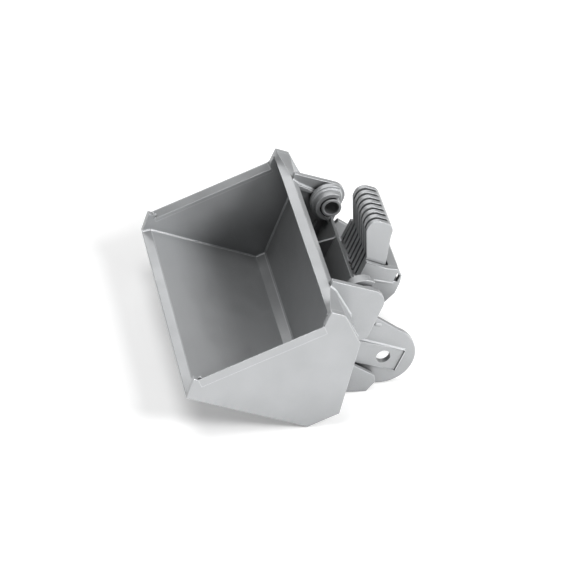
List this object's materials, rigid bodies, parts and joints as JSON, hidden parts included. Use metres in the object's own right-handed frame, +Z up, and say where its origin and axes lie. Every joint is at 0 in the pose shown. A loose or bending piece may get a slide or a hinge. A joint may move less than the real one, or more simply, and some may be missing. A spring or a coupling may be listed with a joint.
{
  "type": "toy ditching bucket",
  "caption": "Wide toothless ditching bucket for a model excavator, with a hitch that snaps onto ear bosses and swings, round pin lugs and a ribbed lever that works a lock bolt.",
  "frame": {"origin": "middle of the stick-pin axis, between the two round hitch lugs", "axes": "+X across the width, +Y from the lip towards the hitch, +Z up as the bucket stands on its heel and rest lugs"},
  "size_m": [0.12, 0.101, 0.0673],
  "materials": {
    "bucket_plastic": "satin metallic silver moulding",
    "hitch_plastic": "satin metallic silver moulding",
    "lever_plastic": "satin metallic silver moulding",
    "pin_steel": "drawn steel pin"
  },
  "bodies": {
    "bucket": {"wrapper_plate": "bucket_plastic", "cutting_edge": "bucket_plastic", "back_plate": "bucket_plastic", "crown_bar": "bucket_plastic", "side_plate_left": "bucket_plastic", "side_plate_right": "bucket_plastic", "side_cutter_left": "bucket_plastic", "side_cutter_right": "bucket_plastic", "wing_panel_left": "bucket_plastic", "wing_panel_right": "bucket_plastic", "ear_left": "bucket_plastic", "ear_right": "bucket_plastic", "rest_lug_left": "bucket_plastic", "rest_lug_right": "bucket_plastic", "ear_web_left": "bucket_plastic", "ear_web_right": "bucket_plastic", "pin_boss_left": "bucket_plastic", "pin_boss_right": "bucket_plastic", "keeper": "bucket_plastic"},
    "hitch": {"hitch_cheek_left": "hitch_plastic", "hitch_cheek_right": "hitch_plastic", "hook_collar_left": "hitch_plastic", "hook_collar_right": "hitch_plastic", "lug_pad_left": "hitch_plastic", "lug_pad_right": "hitch_plastic", "hitch_plate": "hitch_plastic", "stop_rib_left": "hitch_plastic", "stop_rib_right": "hitch_plastic", "bolt_guide_upper": "hitch_plastic", "bolt_guide_lower": "hitch_plastic", "lever_bracket_left": "hitch_plastic", "lever_bracket_right": "hitch_plastic", "lever_hood": "hitch_plastic", "lever_pin": "pin_steel"},
    "lever": {"ribbed_lever": "lever_plastic"},
    "bolt": {"lock_bolt": "pin_steel"}
  },
  "joints": [
    {"name": "hitch_swing", "type": "hinge", "parent": "bucket", "child": "hitch", "pos_m": [0, -0.00968, 0.0315], "axis": [1, 0, 0], "range_deg": [0, 35]},
    {"name": "lever_tilt", "type": "hinge", "parent": "hitch", "child": "lever", "pos_m": [0, 0.00434, 0.02093], "axis": [1, 0, 0], "range_deg": [0, 18], "stiffness_Nm_per_rad": 0.02},
    {"name": "bolt_slide", "type": "slide", "parent": "hitch", "child": "bolt", "axis": [0, 0.3827, 0.9239], "range_m": [-0.00294, 0]}
  ],
  "couplings": [
    {"joint": "bolt_slide", "follows": "lever_tilt", "m_per_rad": -0.009026}
  ]
}
